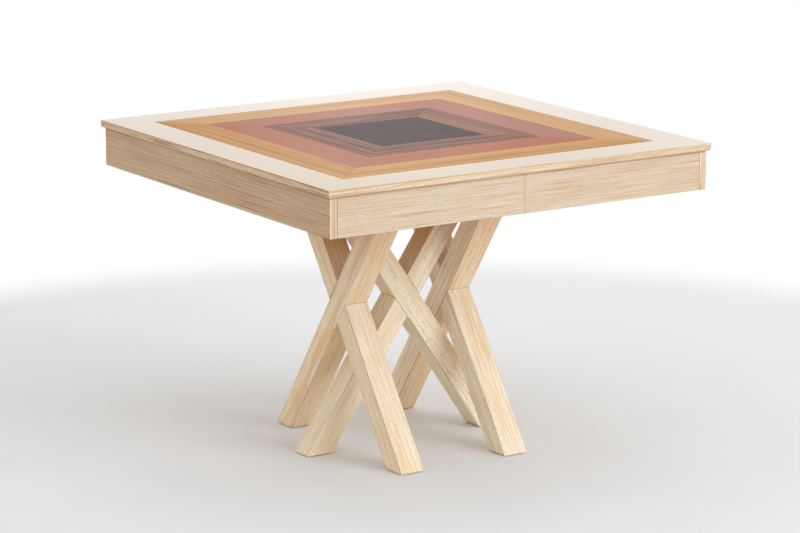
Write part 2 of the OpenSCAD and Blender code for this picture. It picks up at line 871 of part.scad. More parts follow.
side_apron("right", 1);  // right_back_apron
corner_blocks("right");  // right_corner_blocks
battens("right");  // right_battens
slide_arms("right");  // right_slide_arms
racks("right");  // right_racks
stop_dowels("right");  // right_stop_dowels
screws("right");  // right_screws
strike_plates();
alignment_pins();
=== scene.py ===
from collections import namedtuple
from math import cos, pi, radians, sin

import bmesh
import bpy
import numpy as np
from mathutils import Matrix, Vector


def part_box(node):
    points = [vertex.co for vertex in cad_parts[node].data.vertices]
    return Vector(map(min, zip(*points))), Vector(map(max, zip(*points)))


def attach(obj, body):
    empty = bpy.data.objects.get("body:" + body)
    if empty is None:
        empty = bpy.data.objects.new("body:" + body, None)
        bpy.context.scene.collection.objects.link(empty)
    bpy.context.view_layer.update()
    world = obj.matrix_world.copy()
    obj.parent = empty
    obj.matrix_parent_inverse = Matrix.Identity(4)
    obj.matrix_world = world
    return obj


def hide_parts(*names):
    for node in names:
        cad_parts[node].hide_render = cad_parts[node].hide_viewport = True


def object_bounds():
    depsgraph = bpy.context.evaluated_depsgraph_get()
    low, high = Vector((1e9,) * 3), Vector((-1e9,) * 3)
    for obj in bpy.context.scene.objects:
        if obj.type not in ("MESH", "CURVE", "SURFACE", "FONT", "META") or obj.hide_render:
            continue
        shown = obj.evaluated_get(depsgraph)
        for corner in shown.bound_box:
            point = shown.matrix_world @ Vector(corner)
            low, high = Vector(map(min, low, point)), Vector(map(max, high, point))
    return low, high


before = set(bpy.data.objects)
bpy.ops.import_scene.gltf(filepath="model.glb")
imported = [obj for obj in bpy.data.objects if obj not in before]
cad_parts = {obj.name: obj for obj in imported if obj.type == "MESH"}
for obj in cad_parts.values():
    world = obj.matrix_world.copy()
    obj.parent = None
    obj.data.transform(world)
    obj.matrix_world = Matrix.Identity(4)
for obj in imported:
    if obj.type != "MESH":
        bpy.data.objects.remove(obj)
cad_low, cad_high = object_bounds()


# Camera
# The photograph looks down on the near corner of the table from about eight metres away, through a
# long lens. Its place and lens come from a fit to the corners of the top, the aprons and the feet.

photo_width = 800
focal_length_px = 3293.7
sensor_width_mm = 36
farthest_seen = 200
camera_place = (-4.2724, -6.5824, 2.1884)
camera_tilt = radians(77.388)
camera_heading = radians(-32.984)

camera_data = bpy.data.cameras.new("photo_camera")
camera_data.sensor_width = sensor_width_mm
camera_data.lens = focal_length_px / photo_width * sensor_width_mm
camera_data.clip_end = farthest_seen
camera = bpy.data.objects.new("photo_camera", camera_data)
camera.location = camera_place
camera.rotation_euler = (camera_tilt, 0, camera_heading)
bpy.context.scene.collection.objects.link(camera)
bpy.context.scene.camera = camera
bpy.context.scene.view_settings.view_transform = "Standard"


# Floor and light
# A plain pale studio floor fades to white away from the table. A large soft lamp, slightly cool, stands
# in front on the right, and a weak one close behind makes the far side of the top shine. The rest is
# warm, even light from all round.

floor_reach = 40
floor_cloud = 0.4
pool_start = 1.75
pool_end = 2.15
key_power = 468
key_size = 7
key_place = (4.2, -8.8, 4.3)
key_tint = (0.945, 0.975, 1.0)
shine_power = 2.0
shine_size = 0.8
shine_place = (0.98, 1.62, 1.3)
shine_tint = (1.0, 0.97, 0.94)
sky_strength = 0.91
sky_tint = (1.0, 0.95, 0.89, 1)
backdrop_white = (1, 1, 1, 1)


def shade(red, green, blue):
    """Linear colour of a screen colour whose parts go from 0 to 255."""
    linear = []
    for value in (red, green, blue):
        part = value / 255
        linear.append(part / 12.92 if part <= 0.04045 else ((part + 0.055) / 1.055) ** 2.4)
    return (*linear, 1)


class Tone:
    """An output on its way through a node tree. Sums and products of tones become Math nodes."""

    def __init__(self, tree, socket):
        self.tree = tree
        self.socket = socket

    def maths(self, operation, first, second):
        return self.tree.put("ShaderNodeMath", {"operation": operation}, {0: first, 1: second})

    def __add__(self, other):
        return self.maths("ADD", self, other)

    def __sub__(self, other):
        return self.maths("SUBTRACT", self, other)

    def __rsub__(self, other):
        return self.maths("SUBTRACT", other, self)

    def __mul__(self, other):
        return self.maths("MULTIPLY", self, other)

    def __truediv__(self, other):
        return self.maths("DIVIDE", self, other)

    def __pow__(self, other):
        return self.maths("POWER", self, other)

    def __gt__(self, other):
        return self.maths("GREATER_THAN", self, other)

    def __abs__(self):
        return self.maths("ABSOLUTE", self, 0)

    __radd__ = __add__
    __rmul__ = __mul__


class Tree:
    """A node tree being put together. put() adds a node and gives back one of its outputs."""

    def __init__(self, tree):
        self.tree = tree
        tree.nodes.clear()

    def put(self, kind, settings, sockets, output=0):
        node = self.tree.nodes.new(kind)
        for name, value in settings.items():
            setattr(node, name, value)
        for key, value in sockets.items():
            if isinstance(value, Tone):
                self.tree.links.new(value.socket, node.inputs[key])
            else:
                node.inputs[key].default_value = value
        return Tone(self, node.outputs[output]) if len(node.outputs) else None


class Finish(Tree):
    """A procedural material in the object's own coordinates, in metres."""

    def __init__(self, name):
        self.material = bpy.data.materials.new(name)
        self.material.use_nodes = True
        super().__init__(self.material.node_tree)
        self.place = self.put("ShaderNodeTexCoord", {}, {}, "Object")

    def part(self, vector, axis):
        """One coordinate of a vector."""
        return self.put("ShaderNodeSeparateXYZ", {}, {0: vector}, axis)

    def join(self, x, y, z):
        """A vector made of three coordinates."""
        return self.put("ShaderNodeCombineXYZ", {}, {0: x, 1: y, 2: z})

    def noise(self, place, cell, shift=0.0, detail=2.0):
        """Noise about 0.5, in cells of a length, width and depth in metres. Shift picks its pattern."""
        pace = [1 / size for size in cell]
        paced = self.put(
            "ShaderNodeVectorMath",
            {"operation": "MULTIPLY_ADD"},
            {0: place, 1: pace, 2: (shift, shift * 1.7, shift * 2.3)},
        )
        sockets = {"Vector": paced, "Scale": 1.0, "Detail": detail}
        return self.put("ShaderNodeTexNoise", {}, sockets, "Fac")

    def ease(self, value, low, high):
        """0 below low and 1 above high, with a soft step between them."""
        return self.put(
            "ShaderNodeMapRange",
            {"interpolation_type": "SMOOTHSTEP"},
            {"Value": value, "From Min": low, "From Max": high},
        )

    def mix(self, way, amount, first, second):
        """A Mix node takes its colours at inputs 6 and 7, and gives the mixed one at output 2."""
        return self.put(
            "ShaderNodeMix",
            {"data_type": "RGBA", "blend_type": way},
            {"Factor": amount, 6: first, 7: second},
            2,
        )

    def blend(self, amount, first, second):
        """The first colour where amount is 0, and the second where it is 1."""
        return self.mix("MIX", amount, first, second)

    def tint(self, amount, colour, glass):
        """The colour as seen through a coloured glass."""
        return self.mix("MULTIPLY", amount, colour, glass)

    def close(self, colour, roughness, height=None, relief=0.0003, **steady):
        """Ends the material. The steady values are the same all over and sit on the shader's sockets."""
        sockets = {"Base Color": colour, "Roughness": roughness, **steady}
        if height is not None:
            sockets["Normal"] = self.put(
                "ShaderNodeBump", {}, {"Strength": 0.5, "Distance": relief, "Height": height}
            )
        shader = self.put("ShaderNodeBsdfPrincipled", {}, sockets)
        self.put("ShaderNodeOutputMaterial", {}, {"Surface": shader})
        return self.material


def link_mesh(name, mesh):
    """A new object in the scene that shows the mesh."""
    piece = bpy.data.objects.new(name, mesh)
    bpy.context.scene.collection.objects.link(piece)
    return piece


def soft_lamp(name, place, size, power, tint):
    """A round lamp that points at the middle of the table."""
    lamp = bpy.data.lights.new(name, "AREA")
    lamp.shape = "DISK"
    lamp.size = size
    lamp.energy = power
    lamp.color = tint
    holder = bpy.data.objects.new(name, lamp)
    holder.location = place
    towards = (cad_low + cad_high) / 2 - holder.location
    holder.rotation_euler = towards.to_track_quat("-Z", "Y").to_euler()
    holder.visible_camera = False
    bpy.context.scene.collection.objects.link(holder)


def shows_backdrop(tree):
    """1 or more for a ray from the camera or one that is mirrored or let through, 0 for all others."""
    seen = tree.put("ShaderNodeLightPath", {}, {}, "Is Camera Ray")
    mirrored = tree.put("ShaderNodeLightPath", {}, {}, "Is Glossy Ray")
    let_through = tree.put("ShaderNodeLightPath", {}, {}, "Is Transmission Ray")
    return seen + mirrored + let_through


floor_dark = shade(226, 231, 237)
floor_light = shade(232, 237, 243)


def floor_finish():
    """Matt paint that shows as plain white outside a pool round the table."""
    finish = Finish("pale_floor")
    x = finish.part(finish.place, "X")
    y = finish.part(finish.place, "Y")
    far = finish.ease((x * x + y * y) ** 0.5, pool_start, pool_end)
    mottle = finish.noise(finish.place, (floor_cloud, floor_cloud, floor_cloud))
    colour = finish.blend(mottle, floor_dark, floor_light)
    paint = {"Base Color": colour, "Roughness": 1.0, "Specular IOR Level": 0.0}
    matt = finish.put("ShaderNodeBsdfPrincipled", {}, paint)
    white = finish.put("ShaderNodeEmission", {}, {"Color": backdrop_white, "Strength": 1.0})
    both = finish.put("ShaderNodeMixShader", {}, {0: far * shows_backdrop(finish), 1: matt, 2: white})
    finish.put("ShaderNodeOutputMaterial", {}, {"Surface": both})
    return finish.material


floor_shape = bmesh.new()
bmesh.ops.create_grid(floor_shape, x_segments=1, y_segments=1, size=floor_reach)
floor_mesh = bpy.data.meshes.new("studio_floor")
floor_shape.to_mesh(floor_mesh)
floor_shape.free()
floor = link_mesh("studio_floor", floor_mesh)
floor.data.materials.append(floor_finish())

soft_lamp("key_lamp", key_place, key_size, key_power, key_tint)
soft_lamp("shine_lamp", shine_place, shine_size, shine_power, shine_tint)

world = bpy.data.worlds.new("studio")
world.use_nodes = True
bpy.context.scene.world = world
studio = Tree(world.node_tree)
even_light = studio.put("ShaderNodeBackground", {}, {"Color": sky_tint, "Strength": sky_strength})
white_wall = studio.put("ShaderNodeBackground", {}, {"Color": backdrop_white, "Strength": 1.0})
by_ray = {0: shows_backdrop(studio), 1: even_light, 2: white_wall}
studio.put("ShaderNodeOutputWorld", {}, {"Surface": studio.put("ShaderNodeMixShader", {}, by_ray)})


# Crossed legs
# Nine square bars of pale ash make three crossed frames that pass through one another. In each frame
# one bar runs through and two half bars are dowelled to it. Painted shade makes the heads under the top,
# the undersides of the side frames, both broad faces of the left frame and the narrow faces of the upper
# half bars darker and more golden.

leg_lean = radians(34.6)
leg_crossing_z = 0.366
leg_half_w = 0.0325
leg_half_t = 0.02875
side_frame_x = 0.1495
leg_skin = 0.001
leg_pith_distance = 0.11
shade_start_z = 0.4
shade_full_z = 0.65
joint_gap = 0.0004
joint_stain = 0.0022
edge_line_width = 0.0026
edge_line_cell = (0.4, 0.03, 0.03)
side_shade_full_at = 0.2
left_face_shade_gold = shade(255, 247, 236)
head_shade_gold = shade(247, 223, 206)
underside_shade_gold = shade(252, 241, 228)
upper_side_shade_brown = shade(232, 203, 168)
edge_wear_and_shade = shade(178, 126, 70)

# Ring, sway and reach are the width of a growth ring, how far it wanders and the length of a streak,
# in metres. Lines, dashes and pores are how strongly these show.
Wood = namedtuple("Wood", "pale body line pore ring sway reach lines dashes pores roughness")
ASH = Wood(
    pale=shade(247, 240, 223),
    body=shade(241, 226, 199),
    line=shade(219, 180, 122),
    pore=shade(156, 108, 62),
    ring=0.0064,
    sway=0.009,
    reach=0.09,
    lines=0.65,
    dashes=0.62,
    pores=0.8,
    roughness=0.5,
)

# These are the same in every wood. A cell is a length along the grain, a width and a depth, in metres.
sway_cell = (0.6, 0.09, 0.09)
tremble_cell = (0.12, 0.02, 0.02)
tremble_width = 0.002
drift_cell = (0.4, 0.04, 0.04)
fibre_cell = (0.12, 0.0014, 0.0014)
pore_cell = (0.009, 0.0006, 0.0006)
fibre_dullness = 0.12


def grow(finish, wood, place, pith, shift):
    """Colour and height of solid wood whose grain runs along X of place, in rings about its pith.

    Each ring goes from 0, its porous spring wood, to 1, where its dark summer wood stops short.
    """
    y = finish.part(place, "Y") - pith[0]
    z = finish.part(place, "Z") - pith[1]
    sway = finish.noise(place, sway_cell, shift) - 0.5
    tremble = finish.noise(place, tremble_cell, shift + 3) - 0.5
    turns = ((y * y + z * z) ** 0.5 + sway * wood.sway + tremble * tremble_width) / wood.ring
    ring = finish.put("ShaderNodeMath", {"operation": "FLOOR"}, {0: turns})
    own = finish.put("ShaderNodeTexWhiteNoise", {"noise_dimensions": "1D"}, {"W": ring}, "Value")
    within = turns - ring
    late = finish.ease(within, 0.35, 0.85) * (1 - finish.ease(within, 0.9, 1.0))
    early = 1 - finish.ease(within, 0.0, 0.45)
    drift = finish.noise(place, drift_cell, shift + 5)
    streak_width = wood.ring * 0.42
    streak = finish.noise(place, (wood.reach, streak_width, streak_width), shift + 7)
    fibre = finish.noise(place, fibre_cell, shift + 9, 3.0)
    pore = finish.ease(finish.noise(place, pore_cell, shift + 11, 1.0), 0.56, 0.7)
    pore = pore * (0.25 + 0.75 * early)
    colour = finish.blend(finish.ease(fibre, 0.3, 0.7), wood.pale, wood.body)
    colour = finish.blend(finish.ease(drift, 0.4, 0.75) * 0.35, colour, wood.line)
    colour = finish.blend(late * (0.2 + 0.8 * own) * wood.lines, colour, wood.line)
    colour = finish.blend(finish.ease(streak, 0.53, 0.68) * wood.dashes, colour, wood.line)
    colour = finish.blend((1 - finish.ease(streak, 0.33, 0.45)) * 0.6, colour, wood.pale)
    colour = finish.blend(pore * wood.pores, colour, wood.pore)
    height = fibre * 0.4 - pore * wood.pores - late * 0.3
    return colour, height


def timber(finish, wood, colour, height):
    """Ends a finish of planed wood, which shines a little less on its raised fibres."""
    return finish.close(colour, wood.roughness + fibre_dullness * height, height)


def arris(finish, place, half_y, half_z, width):
    """1 along the four long edges of a bar whose middle line is the X axis of place."""
    near_y = finish.ease(abs(finish.part(place, "Y")), half_y - width, half_y)
    near_z = finish.ease(abs(finish.part(place, "Z")), half_z - width, half_z)
    return near_y * near_z


def dress(name, material):
    """Gives a carried-over CAD node its material."""
    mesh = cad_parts[name].data
    mesh.materials.clear()
    mesh.materials.append(material)


def bar_place(finish, middle_x, upright_turn, way):
    """Place along a leaning bar: X runs along its middle line from the crossing."""
    turn = (0, way * leg_lean - pi / 2, upright_turn)
    return finish.put(
        "ShaderNodeMapping",
        {"vector_type": "TEXTURE"},
        {"Vector": finish.place, "Location": (middle_x, 0, leg_crossing_z), "Rotation": turn},
    )


def on_face(finish, distance, half_size):
    """1 on a face of a bar, by the distance from the bar's middle, and 0 just under its skin."""
    return finish.ease(distance, half_size - leg_skin, half_size)


def leg_finish(name, middle_x, upright_turn, way, shift, has_side_shade):
    """Finish of one bar. Way is -1 for a long bar and 1 for a half bar, which leans the other way."""
    finish = Finish(name)
    place = bar_place(finish, middle_x, upright_turn, way)
    along, broad, narrow = (finish.part(place, letter) for letter in "XYZ")
    pith = (leg_pith_distance + 0.01 * sin(shift), 0.035 * cos(shift))
    colour, height = grow(finish, ASH, place, pith, shift)
    # Painted shade: darker and more golden towards the heads, under the top.
    head_shade = finish.ease(finish.part(finish.place, "Z"), shade_start_z, shade_full_z)
    colour = finish.tint(head_shade, colour, head_shade_gold)
    # Painted shade on both broad faces of the left frame's bars.
    if middle_x < 0:
        colour = finish.tint(on_face(finish, abs(broad), leg_half_w), colour, left_face_shade_gold)
    # Painted shade on one narrow face of each side frame's bars, its underside.
    if upright_turn:
        colour = finish.tint(on_face(finish, narrow * -way, leg_half_t), colour, underside_shade_gold)
    # Painted shade on the narrow faces of the upper half bars, growing towards their heads.
    if has_side_shade:
        side_shade = on_face(finish, abs(narrow), leg_half_t) * finish.ease(along, 0.0, side_shade_full_at)
        colour = finish.tint(side_shade, colour, upper_side_shade_brown)
    if way > 0:
        from_long_bar = abs(finish.part(bar_place(finish, middle_x, upright_turn, -way), "Z"))
        joint = 1 - finish.ease(from_long_bar, leg_half_t + joint_gap, leg_half_t + joint_stain)
        colour = finish.blend(joint * 0.7, colour, ASH.pore)
    # Along the edges, dark patches that are partly wear and partly painted shade alternate with pale
    # painted highlight.
    arris_band = arris(finish, place, leg_half_w, leg_half_t, edge_line_width)
    dark_edge_patches = finish.ease(finish.noise(place, edge_line_cell, shift + 17), 0.4, 0.55)
    colour = finish.blend(arris_band * dark_edge_patches * 0.8, colour, edge_wear_and_shade)
    colour = finish.blend(arris_band * (1 - dark_edge_patches) * 0.6, colour, ASH.pale)
    return timber(finish, ASH, colour, height)


leg_frames = {"left": (-side_frame_x, pi / 2), "middle": (0, 0), "right": (side_frame_x, pi / 2)}
leg_bars = {"long": -1, "upper": 1, "lower": 1}
leg_shift = 0
leg_shift_step = 1.3
for side, (middle_x, upright_turn) in leg_frames.items():
    for bar, way in leg_bars.items():
        leg_shift += leg_shift_step
        node = f"{side}_frame_{bar}_leg"
        has_side_shade = bar == "upper"
        dress(node, leg_finish(f"ash_{node}", middle_x, upright_turn, way, leg_shift, has_side_shade))


# Dowels and glides
# Two birch dowels pin every half leg to the long one at the crossing. A disc of dark felt is glued
# under each foot, so that the table slides on the floor without marking it.

felt_dark = shade(58, 54, 50)
felt_light = shade(104, 98, 92)
felt_dust = shade(84, 76, 68)
BIRCH = Wood(
    pale=shade(232, 212, 178),
    body=shade(220, 195, 156),
    line=shade(196, 163, 118),
    pore=shade(172, 138, 96),
    ring=0.004,
    sway=0.003,
    reach=0.05,
    lines=0.3,
    dashes=0.4,
    pores=0.3,
    roughness=0.5,
)


def plain_timber(name, wood, axis, pith, shift):
    """Finish of pieces whose grain runs along one of the table's own axes.

    Pith is how far the middle of the tree lies from the grain's axis, and shift picks the figure.
    """
    finish = Finish(name)
    x, y, z = (finish.part(finish.place, letter) for letter in "XYZ")
    orders = {"X": (x, y, z), "Y": (y, x, z), "Z": (z, x, y)}
    place = finish.join(*orders[axis])
    colour, height = grow(finish, wood, place, pith, shift)
    return timber(finish, wood, colour, height)


def felt_finish():
    """Pressed wool in fine tufts, dusty in patches."""
    finish = Finish("grey_felt")
    tuft = finish.noise(finish.place, (0.0012, 0.0012, 0.0012), 0.0, 5.0)
    patch = finish.noise(finish.place, (0.01, 0.01, 0.01), 4.0)
    colour = finish.blend(tuft, felt_dark, felt_light)
    colour = finish.blend(patch * 0.4, colour, felt_dust)
    return finish.close(colour, 0.95, tuft, 0.0008, **{"Sheen Weight": 0.4})


dress("crossing_dowels", plain_timber("birch_dowel", BIRCH, "Z", (0.05, 0.02), 21.0))
dress("foot_glides", felt_finish())


# Under frame
# Two beech bearers and two ties make a flat ladder on the leg heads. The ties are stub-tenoned into
# the bearers, and the wood is only oiled, because nobody sees it until the table is opened.

BEECH = Wood(
    pale=shade(222, 186, 146),
    body=shade(207, 166, 124),
    line=shade(180, 136, 94),
    pore=shade(140, 98, 64),
    ring=0.006,
    sway=0.012,
    reach=0.07,
    lines=0.4,
    dashes=0.45,
    pores=0.75,
    roughness=0.55,
)

dress("left_bearer", plain_timber("beech_left_bearer", BEECH, "Y", (-0.35, 0.62), 31.0))
dress("right_bearer", plain_timber("beech_right_bearer", BEECH, "Y", (0.36, 0.6), 37.0))
dress("bearer_ties", plain_timber("beech_ties", BEECH, "X", (0.1, 0.55), 41.0))


# Frame bolts
# Six zinc-plated hexagon bolts with washers hold the leg heads up against the under frame. Each head
# is forged with a chamfered top, and the thread is rolled on the lower part of the shank.

bolt_key = 0.017
bolt_thread_pitch = 0.0015
bolt_thread_length = 0.0276
washer_radius = 0.0105
washer_bevel = 0.0003
turned_sides = 24
loops_per_turn = 6
metal_grain = 0.012
tarnish_cloud = 0.014
zinc_bright = shade(190, 193, 197)
zinc_dull = shade(140, 136, 124)


def solids_of(node):
    """Corner points of each separate solid in a CAD node, as arrays.

    Every point follows a leader, and the corners of one triangle end up with the same leader.
    """
    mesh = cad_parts[node].data
    corners = np.array([vertex.co for vertex in mesh.vertices])
    points, spot = np.unique(np.round(corners, 6), axis=0, return_inverse=True)
    spot = spot.ravel()
    leader = list(range(len(points)))

    def lead(index):
        while leader[index] != index:
            leader[index] = leader[leader[index]]
            index = leader[index]
        return index

    for polygon in mesh.polygons:
        first = lead(spot[polygon.vertices[0]])
        for vertex in polygon.vertices[1:]:
            leader[lead(spot[vertex])] = first
    solids = {}
    for index in range(len(points)):
        solids.setdefault(lead(index), []).append(points[index])
    return [np.array(solid) for solid in solids.values()]


def hexagon(key):
    """Radius of a hexagon at any angle, from its width over the flats."""
    return lambda angle: key / 2 / cos((angle + pi / 6) % (pi / 3) - pi / 6)


def thread(core, outer, pitch, height):
    """Radius of a screw thread at one height, at any angle."""
    steepness = 1.5

    def radius(angle):
        along = (height / pitch - angle / (2 * pi)) % 1
        return core + (outer - core) * max(0, 1 - abs(2 * along - 1) * steepness)

    return radius


def threaded_loops(core, outer, pitch, start, end):
    """Loops of a thread between two heights, close enough together to show every turn."""
    count = max(2, round((end - start) / pitch * loops_per_turn))
    heights = [start + (end - start) * step / count for step in range(count + 1)]
    return [(height, thread(core, outer, pitch, height)) for height in heights]


def turned_mesh(name, loops, scale=1):
    """Closed shape made of loops from its tip to its head. Heights and radii may vary with the angle."""
    shape = bmesh.new()
    rows = []
    for height, radius in loops:
        row = []
        for side in range(turned_sides):
            angle = 2 * pi * side / turned_sides
            out = scale * (radius(angle) if callable(radius) else radius)
            up = scale * (height(angle) if callable(height) else height)
            row.append(shape.verts.new((out * cos(angle), out * sin(angle), up)))
        rows.append(row)
    for below, above in zip(rows, rows[1:]):
        for side in range(turned_sides):
            after = (side + 1) % turned_sides
            shape.faces.new((below[side], below[after], above[after], above[side]))
    shape.faces.new(list(reversed(rows[0])))
    shape.faces.new(rows[-1])
    mesh = bpy.data.meshes.new(name)
    shape.to_mesh(mesh)
    shape.free()
    return mesh


placing_inputs = {
    "Points": "NodeSocketGeometry",
    "Fastener": "NodeSocketObject",
    "Finish": "NodeSocketMaterial",
    "Seed": "NodeSocketInt",
}


def placing_tree():
    """Stands one fastener on every point, along the point's own direction and turned at random.

    A Random Value node takes its highest number at input 3, and gives the number at output 1.
    """
    group = bpy.data.node_groups.new("place_fasteners", "GeometryNodeTree")
    for label, kind in placing_inputs.items():
        group.interface.new_socket(label, in_out="INPUT", socket_type=kind)
    group.interface.new_socket("Fasteners", in_out="OUTPUT", socket_type="NodeSocketGeometry")
    tree = Tree(group)
    given = {label: tree.put("NodeGroupInput", {}, {}, label) for label in placing_inputs}
    shape = tree.put("GeometryNodeObjectInfo", {}, {"Object": given["Fastener"]}, "Geometry")
    as_vector = {"data_type": "FLOAT_VECTOR"}
    heading = tree.put("GeometryNodeInputNamedAttribute", as_vector, {"Name": "direction"}, "Attribute")
    aimed = tree.put("FunctionNodeAlignRotationToVector", {"axis": "Z"}, {"Vector": heading})
    angle = tree.put("FunctionNodeRandomValue", {}, {3: 2 * pi, "Seed": given["Seed"]}, 1)
    spin = tree.put("FunctionNodeAxisAngleToRotation", {}, {"Axis": (0, 0, 1), "Angle": angle})
    about_itself = {"rotation_space": "LOCAL"}
    turned = tree.put("FunctionNodeRotateRotation", about_itself, {"Rotation": aimed, "Rotate By": spin})
    copies = {"Points": given["Points"], "Instance": shape, "Rotation": turned}
    stood = tree.put("GeometryNodeInstanceOnPoints", {}, copies)
    real = tree.put("GeometryNodeRealizeInstances", {}, {"Geometry": stood})
    dressed = tree.put("GeometryNodeSetMaterial", {}, {"Geometry": real, "Material": given["Finish"]})
    tree.put("NodeGroupOutput", {}, {"Fasteners": dressed})
    return group


place_fasteners = placing_tree()


def fasteners(name, mesh, spots, material, body, seed):
    """One piece that holds a copy of the fastener at every (head, direction) in spots."""
    pattern = link_mesh(f"{name}_pattern", mesh)
    points = bpy.data.meshes.new(f"{name}_points")
    points.from_pydata([head for head, direction in spots], [], [])
    headings = points.attributes.new("direction", "FLOAT_VECTOR", "POINT")
    headings.data.foreach_set("vector", [value for head, direction in spots for value in direction])
    holder = link_mesh(f"{name}_holder", points)
    modifier = holder.modifiers.new("place_fasteners", "NODES")
    modifier.node_group = place_fasteners
    given = {"Fastener": pattern, "Finish": material, "Seed": seed}
    for item in place_fasteners.interface.items_tree:
        if item.name in given:
            modifier[item.identifier] = given[item.name]
    seen = holder.evaluated_get(bpy.context.evaluated_depsgraph_get())
    piece = link_mesh(name, bpy.data.meshes.new_from_object(seen))
    bpy.data.objects.remove(holder)
    bpy.data.objects.remove(pattern)
    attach(piece, body)
    return piece


def metal_finish(name, bright, tarnish, roughness):
    """Plated or rolled metal with fine scratches and a faint cloud of tarnish."""
    finish = Finish(name)
    scratch = finish.noise(finish.place, (0.0002, metal_grain, 0.0002), 0.0, 3.0)
    cloud = finish.noise(finish.place, (tarnish_cloud, tarnish_cloud, tarnish_cloud), 2.0, 4.0)
    colour = finish.blend(finish.ease(cloud, 0.4, 0.8) * 0.35, bright, tarnish)
    colour = finish.blend(finish.ease(scratch, 0.45, 0.75) * 0.25, colour, tarnish)
    rough = roughness + 0.25 * (scratch - 0.5) + 0.12 * (cloud - 0.5)
    return finish.close(colour, rough, scratch, 0.00005, Metallic=1.0)


STEEL = metal_finish("zinc_plated_steel", zinc_bright, zinc_dull, 0.34)


def upright_spots(node):
    """Head and direction of each fastener that stands upright with its head on top."""
    spots = []
    for solid in solids_of(node):
        low, high = solid.min(0), solid.max(0)
        middle = (low + high) / 2
        spots.append(((middle[0], middle[1], high[2]), (0, 0, 1)))
    return spots


def frame_bolt_mesh():
    """The origin is the middle of the head's top, and the bolt points down through its washer."""
    head = 0.0064
    washer = 0.002
    shank = 0.048
    core, outer = 0.0042, 0.005
    point, taper, run_out = 0.0012, 0.0006, 0.0006
    face = bolt_key / 2 * 0.94
    chamfer_slope = 0.55
    dish_depth = 0.0004
    corner = hexagon(bolt_key)

    def chamfered(angle):
        return (face - corner(angle)) * chamfer_slope

    tip = -head - washer - shank
    thread_top = tip + bolt_thread_length
    loops = [(tip, core - taper)]
    loops += threaded_loops(core, outer, bolt_thread_pitch, tip + point, thread_top)
    loops += [
        (thread_top + run_out, outer),
        (-head - washer, outer),
        (-head - washer, washer_radius - 0.0002),
        (-head - washer + washer_bevel, washer_radius),
        (-head - washer_bevel, washer_radius),
        (-head, washer_radius - 0.0003),
        (-head, corner),
        (chamfered, corner),
        (0, face),
        (0, face * 0.8),
        (-dish_depth, face * 0.75),
        (-dish_depth, 0.001),
    ]
    return turned_mesh("frame_bolt", loops)


frame_bolt_set = fasteners(
    "frame_bolt_set", frame_bolt_mesh(), upright_spots("frame_bolts"), STEEL, "base", 3
)
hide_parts("frame_bolts")


# Slides
# Each slide is a fixed middle rail with a dovetail groove on either side, and two arms that run in the
# grooves. All are beech, planed and waxed so that they run freely, and birch dowels stop the arms.

SLIDE_BEECH = BEECH._replace(
    pale=shade(214, 176, 132),
    body=shade(196, 152, 108),
    line=shade(166, 120, 78),
    roughness=0.42,
)

dress("front_middle_rail", plain_timber("beech_front_rail", SLIDE_BEECH, "X", (-0.3, 0.55), 51.0))
dress("back_middle_rail", plain_timber("beech_back_rail", SLIDE_BEECH, "X", (0.28, 0.5), 53.0))
dress("left_slide_arms", plain_timber("beech_left_arms", SLIDE_BEECH, "X", (0.1, 0.45), 57.0))
dress("right_slide_arms", plain_timber("beech_right_arms", SLIDE_BEECH, "X", (-0.1, 0.42), 59.0))
dress("left_stop_dowels", plain_timber("birch_left_stops", BIRCH, "Z", (0.03, 0.02), 61.0))
dress("right_stop_dowels", plain_timber("birch_right_stops", BIRCH, "Z", (0.02, 0.03), 67.0))


# Racks, pinions and their bolts
# A moulded nylon rack on every arm meshes with a nylon pinion that turns on a steel axle in the rail.
# Socket screws hold the rails down on the bearers, each sunk in its own bore.

socket_key = 0.005
socket_depth = 0.003
rail_thread_pitch = 0.001
rail_thread_length = 0.024
nylon_shadow = shade(222, 214, 192)
nylon_pale = shade(236, 230, 212)
nylon_grime = shade(186, 176, 150)


def nylon_finish():
    """Milky plastic with soft flow marks and specks of grime."""
    finish = Finish("moulded_nylon")
    flow = finish.noise(finish.place, (0.03, 0.008, 0.008), 1.0)
    grit = finish.noise(finish.place, (0.0006, 0.0006, 0.0006), 6.0)
    colour = finish.blend(flow, nylon_shadow, nylon_pale)
    colour = finish.blend(finish.ease(grit, 0.62, 0.8) * 0.3, colour, nylon_grime)
    return finish.close(colour, 0.4 + 0.2 * (flow - 0.5), grit, 0.00005, **{"Subsurface Weight": 0.1})


def rail_bolt_mesh():
    """The origin is the middle of the head's top, and the bolt points down."""
    head = 0.006
    head_radius = 0.005
    lower_bevel, upper_bevel = 0.0002, 0.0006
    core, outer = 0.0025, 0.003
    point, taper, run_out = 0.0008, 0.0004, 0.0006
    socket = hexagon(socket_key)
    tip = -0.0595
    thread_top = tip + rail_thread_length
    loops = [(tip, core - taper)]
    loops += threaded_loops(core, outer, rail_thread_pitch, tip + point, thread_top)
    loops += [
        (thread_top + run_out, outer),
        (-head, outer),
        (-head, head_radius - lower_bevel),
        (-head + lower_bevel, head_radius),
        (-upper_bevel, head_radius),
        (0, head_radius - upper_bevel),
        (0, socket),
        (-socket_depth, socket),
        (-socket_depth - 0.0006, 0.0005),
    ]
    return turned_mesh("rail_bolt", loops)


NYLON = nylon_finish()
for node in ["front_pinion", "back_pinion", "left_racks", "right_racks"]:
    dress(node, NYLON)
dress("pinion_axles", STEEL)
rail_bolt_set = fasteners(
    "rail_bolt_set", rail_bolt_mesh(), upright_spots("rail_bolts"), STEEL, "base", 5
)
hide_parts("rail_bolts")


# Core boards
# Each half is built up on a core of birch plywood. Its nine plies are glued crosswise, so that it stays
# flat, and their edges show at the split when the table is open.

ply_count = 9


